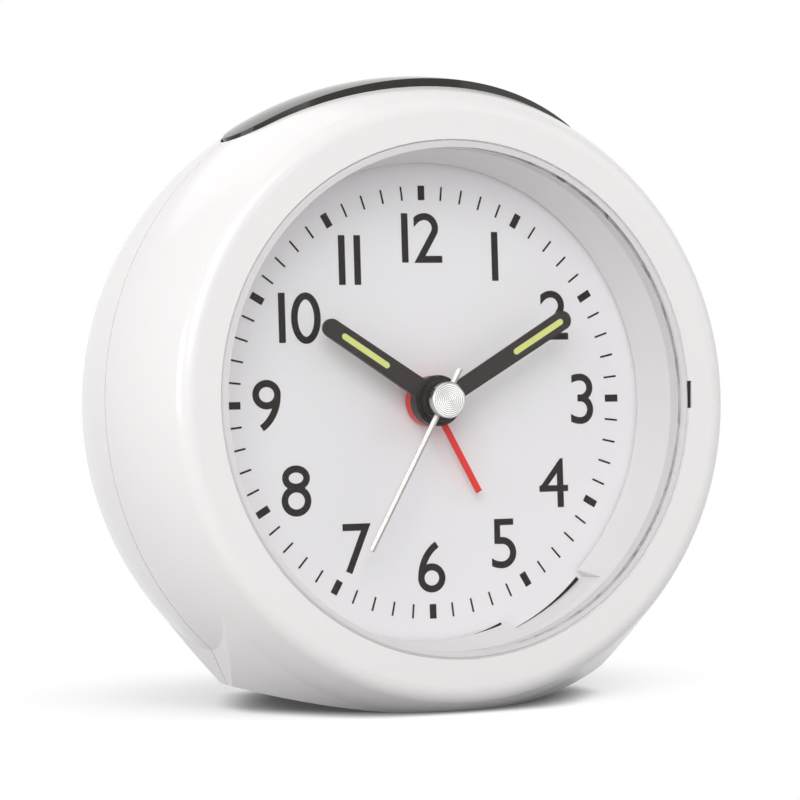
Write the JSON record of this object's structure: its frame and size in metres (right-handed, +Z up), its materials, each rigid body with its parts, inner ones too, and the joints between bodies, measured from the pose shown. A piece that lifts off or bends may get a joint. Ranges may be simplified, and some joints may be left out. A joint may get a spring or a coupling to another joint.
{
  "type": "analog alarm clock",
  "caption": "Round table alarm clock with a leaning dial, four hands, a snooze bar on its crown, and a quartz movement with setting knobs behind.",
  "frame": {"origin": "on the table plane, at the middle of the foot's flat underside", "axes": "+Z up, -Y the way the dial faces, +X to the viewer's right when facing the dial"},
  "size_m": [0.095, 0.0445, 0.0914],
  "materials": {
    "case_white": "gloss",
    "lens_clear": "clear gloss",
    "ring_grey": "satin",
    "dial_white": "matt",
    "button_grey": "gloss",
    "hand_dark": "satin",
    "lume": "matt",
    "hand_silver": "brushed",
    "hand_red": "satin",
    "cap_silver": "turned",
    "movement_grey": "matt",
    "gear_white": "satin",
    "screw_steel": "brushed",
    "stator_steel": "satin",
    "magnet_dark": "satin",
    "coil_copper": "gloss",
    "board_green": "satin",
    "sounder_brass": "satin",
    "cell_skin": "satin",
    "contact_nickel": "satin",
    "knob_dark": "satin"
  },
  "bodies": {
    "case": {"front_case": "case_white", "rear_cover": "case_white", "lens": "lens_clear", "dial_ring": "ring_grey", "dial": "dial_white", "snooze_switch": "knob_dark", "movement_front": "movement_grey", "movement_back": "movement_grey", "train_plate": "movement_grey", "movement_screws": "screw_steel", "stator": "stator_steel", "drive_coil": "coil_copper", "circuit_board": "board_green", "buzzer": "sounder_brass", "battery": "cell_skin", "contact_positive": "contact_nickel", "contact_negative": "contact_nickel"},
    "snooze": {"snooze_button": "button_grey"},
    "seconds": {"second_hand": "hand_silver", "second_cap": "cap_silver", "second_wheel": "gear_white"},
    "fifth": {"fifth_wheel": "gear_white"},
    "rotor": {"rotor": "magnet_dark"},
    "third": {"third_wheel": "gear_white"},
    "centre": {"centre_wheel": "gear_white"},
    "minutes": {"minute_hand": "hand_dark", "minute_lume": "lume", "cannon_pinion": "gear_white"},
    "hours": {"hour_hand": "hand_dark", "hour_lume": "lume", "hour_wheel": "gear_white"},
    "time_setting": {"motion_wheel": "gear_white", "time_knob": "knob_dark"},
    "alarm": {"alarm_hand": "hand_red", "alarm_wheel": "gear_white"},
    "alarm_setting": {"alarm_arbor": "gear_white", "alarm_knob": "knob_dark"},
    "alarm_on_off": {"alarm_switch": "knob_dark"},
    "door": {"battery_door": "movement_grey"}
  },
  "joints": [
    {"name": "snooze_press", "type": "slide", "parent": "case", "child": "snooze", "axis": [0, -0.068, -0.9977], "range_m": [0, 0.0012], "stiffness_N_per_m": 600},
    {"name": "seconds_turn", "type": "hinge", "parent": "case", "child": "seconds", "pos_m": [0, -0.008, 0.044], "axis": [0, 0.9977, -0.068], "continuous": true},
    {"name": "fifth_turn", "type": "hinge", "parent": "case", "child": "fifth", "pos_m": [-0.00987, -0.00824, 0.04042], "axis": [0, 0.9977, -0.068], "continuous": true},
    {"name": "rotor_turn", "type": "hinge", "parent": "case", "child": "rotor", "pos_m": [-0.017, -0.00818, 0.04142], "axis": [0, 0.9977, -0.068], "continuous": true},
    {"name": "third_turn", "type": "hinge", "parent": "case", "child": "third", "pos_m": [0, -0.00727, 0.05477], "axis": [0, 0.9977, -0.068], "continuous": true},
    {"name": "centre_turn", "type": "hinge", "parent": "case", "child": "centre", "pos_m": [0, -0.008, 0.044], "axis": [0, 0.9977, -0.068], "continuous": true},
    {"name": "time_set", "type": "hinge", "parent": "case", "child": "time_setting", "pos_m": [0.01128, -0.00772, 0.04809], "axis": [0, 0.9977, -0.068], "continuous": true},
    {"name": "minutes_turn", "type": "hinge", "parent": "case", "child": "minutes", "pos_m": [0, -0.008, 0.044], "axis": [0, 0.9977, -0.068], "continuous": true},
    {"name": "hours_turn", "type": "hinge", "parent": "case", "child": "hours", "pos_m": [0, -0.008, 0.044], "axis": [0, 0.9977, -0.068], "continuous": true},
    {"name": "alarm_set", "type": "hinge", "parent": "case", "child": "alarm_setting", "pos_m": [-0.01128, -0.00772, 0.04809], "axis": [0, 0.9977, -0.068], "continuous": true},
    {"name": "alarm_turn", "type": "hinge", "parent": "case", "child": "alarm", "pos_m": [0, -0.008, 0.044], "axis": [0, 0.9977, -0.068], "continuous": true},
    {"name": "alarm_slide", "type": "slide", "parent": "case", "child": "alarm_on_off", "axis": [1, 0, 0], "range_m": [0, 0.005]},
    {"name": "door_lift", "type": "slide", "parent": "case", "child": "door", "axis": [0, 0.9977, -0.068], "range_m": [0, 0.012]}
  ],
  "couplings": [
    {"joint": "fifth_turn", "follows": "seconds_turn", "ratio": -6},
    {"joint": "rotor_turn", "follows": "seconds_turn", "ratio": 30},
    {"joint": "third_turn", "follows": "seconds_turn", "ratio": -0.13333},
    {"joint": "centre_turn", "follows": "seconds_turn", "ratio": 0.016667},
    {"joint": "minutes_turn", "follows": "time_set", "ratio": -3},
    {"joint": "hours_turn", "follows": "time_set", "ratio": -0.25},
    {"joint": "alarm_turn", "follows": "alarm_set", "ratio": -0.33333}
  ]
}
